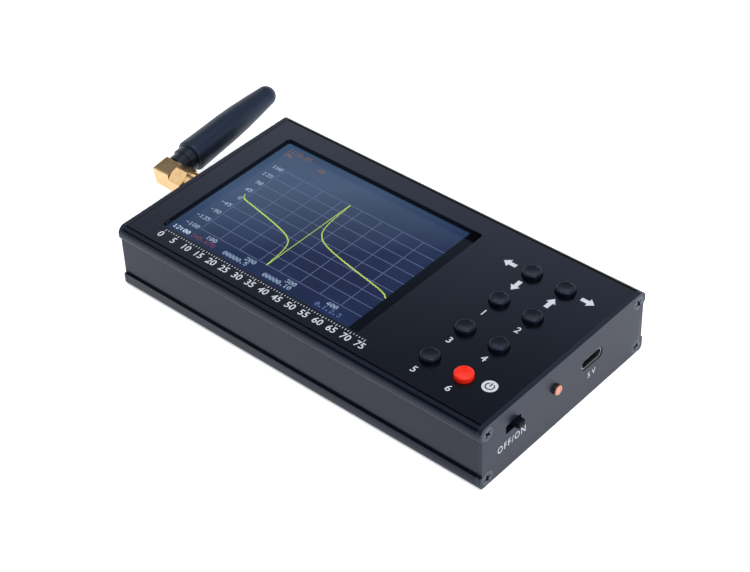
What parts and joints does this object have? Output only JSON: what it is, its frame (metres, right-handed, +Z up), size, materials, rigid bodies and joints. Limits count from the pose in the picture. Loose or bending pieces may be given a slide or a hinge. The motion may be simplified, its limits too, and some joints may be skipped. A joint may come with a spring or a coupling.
{
  "type": "antenna analyzer",
  "caption": "Hand-held antenna analyzer: extruded aluminium case with a wide display, round keys, a slide switch, a charging socket and a stub antenna on a turning elbow plug",
  "frame": {"origin": "centre of the case's underside, on the plane it rests on", "axes": "+X along the case towards the charging socket's end plate, +Y towards the top edge of the display, +Z up out of the front panel"},
  "size_m": [0.1557, 0.0819, 0.0224],
  "materials": {
    "anodised_case": "black anodised extrusion",
    "anodised_panel": "black anodised sheet",
    "anodised_plate": "dark anodised sheet",
    "black_screw_steel": "black oxide",
    "screw_steel": "zinc plated",
    "gasket_foam": "matte foam",
    "display_glass": "anti-glare display",
    "display_bezel": "bare sheet metal",
    "flex_film": "amber film",
    "circuit_board": "green solder mask",
    "standoff_brass": "nickel plated",
    "switch_plastic": "black",
    "key_black": "black, fine texture",
    "key_red": "red, fine texture",
    "plunger_plastic": "natural",
    "connector_black": "black",
    "connector_white": "natural white",
    "chip_epoxy": "black epoxy",
    "shield_steel": "tinned",
    "battery_foil": "silver pouch foil",
    "pad_foam": "white foam tape",
    "lead_insulation": "red",
    "socket_steel": "stamped",
    "led_epoxy": "tinted epoxy",
    "tin_wire": "tinned",
    "switch_can": "stamped",
    "lever_plastic": "black",
    "gold_plate": "gold plated",
    "ptfe": "white",
    "washer_steel": "nickel plated",
    "collar_plastic": "black",
    "radiator_brass": "copper wire",
    "sleeve_rubber": "satin black"
  },
  "bodies": {
    "housing": {"case_body": "anodised_case", "front_panel": "anodised_panel", "usb_end_plate": "anodised_plate", "antenna_end_plate": "anodised_plate", "usb_plate_screws": "black_screw_steel", "antenna_plate_screws": "black_screw_steel", "display_gasket": "gasket_foam", "display_glass": "display_glass", "display_frame": "display_bezel", "display_flex": "flex_film", "front_board": "circuit_board", "panel_standoffs": "standoff_brass", "front_board_screws": "screw_steel", "key_switches": "switch_plastic", "main_board": "circuit_board", "board_header": "connector_black", "board_chips": "chip_epoxy", "rf_shield": "shield_steel", "battery": "battery_foil", "battery_pad": "pad_foam", "battery_leads": "lead_insulation", "battery_plug": "connector_white", "battery_socket": "connector_white", "usb_shell": "socket_steel", "usb_tongue": "connector_black", "status_led": "led_epoxy", "led_legs": "tin_wire", "power_switch_body": "switch_can", "coax_jack": "gold_plate", "jack_insulator": "ptfe", "jack_contact": "gold_plate", "jack_washer": "washer_steel", "jack_nut": "gold_plate"},
    "left_key": {"key_left": "key_black", "plunger_left": "plunger_plastic"},
    "right_key": {"key_right": "key_black", "plunger_right": "plunger_plastic"},
    "down_key": {"key_down": "key_black", "plunger_down": "plunger_plastic"},
    "up_key": {"key_up": "key_black", "plunger_up": "plunger_plastic"},
    "three_key": {"key_three": "key_black", "plunger_three": "plunger_plastic"},
    "four_key": {"key_four": "key_black", "plunger_four": "plunger_plastic"},
    "five_key": {"key_five": "key_black", "plunger_five": "plunger_plastic"},
    "power_key": {"key_power": "key_red", "plunger_power": "plunger_plastic"},
    "slide_lever": {"power_switch_lever": "lever_plastic"},
    "coupling": {"coupling_nut": "gold_plate", "retaining_ring": "washer_steel"},
    "antenna": {"antenna_elbow": "gold_plate", "elbow_cap": "gold_plate", "plug_insulator": "ptfe", "plug_pin": "gold_plate", "antenna_collar": "collar_plastic", "antenna_radiator": "radiator_brass", "antenna_sleeve": "sleeve_rubber"}
  },
  "joints": [
    {"name": "left_key_press", "type": "slide", "parent": "housing", "child": "left_key", "axis": [0, 0, -1], "range_m": [0, 0.0003], "stiffness_N_per_m": 800, "springref_m": -0.0005},
    {"name": "right_key_press", "type": "slide", "parent": "housing", "child": "right_key", "axis": [0, 0, -1], "range_m": [0, 0.0003], "stiffness_N_per_m": 800, "springref_m": -0.0005},
    {"name": "down_key_press", "type": "slide", "parent": "housing", "child": "down_key", "axis": [0, 0, -1], "range_m": [0, 0.0003], "stiffness_N_per_m": 800, "springref_m": -0.0005},
    {"name": "up_key_press", "type": "slide", "parent": "housing", "child": "up_key", "axis": [0, 0, -1], "range_m": [0, 0.0003], "stiffness_N_per_m": 800, "springref_m": -0.0005},
    {"name": "three_key_press", "type": "slide", "parent": "housing", "child": "three_key", "axis": [0, 0, -1], "range_m": [0, 0.0003], "stiffness_N_per_m": 800, "springref_m": -0.0005},
    {"name": "four_key_press", "type": "slide", "parent": "housing", "child": "four_key", "axis": [0, 0, -1], "range_m": [0, 0.0003], "stiffness_N_per_m": 800, "springref_m": -0.0005},
    {"name": "five_key_press", "type": "slide", "parent": "housing", "child": "five_key", "axis": [0, 0, -1], "range_m": [0, 0.0003], "stiffness_N_per_m": 800, "springref_m": -0.0005},
    {"name": "power_key_press", "type": "slide", "parent": "housing", "child": "power_key", "axis": [0, 0, -1], "range_m": [0, 0.0003], "stiffness_N_per_m": 800, "springref_m": -0.0005},
    {"name": "power_slide", "type": "slide", "parent": "housing", "child": "slide_lever", "axis": [0, -1, 0], "range_m": [0, 0.0025]},
    {"name": "antenna_turn", "type": "hinge", "parent": "housing", "child": "antenna", "pos_m": [-0.0829, 0, 0.01144], "axis": [1, 0, 0], "continuous": true},
    {"name": "coupling_nut_turn", "type": "hinge", "parent": "housing", "child": "coupling", "pos_m": [-0.0752, 0, 0.01144], "axis": [1, 0, 0], "continuous": true}
  ]
}
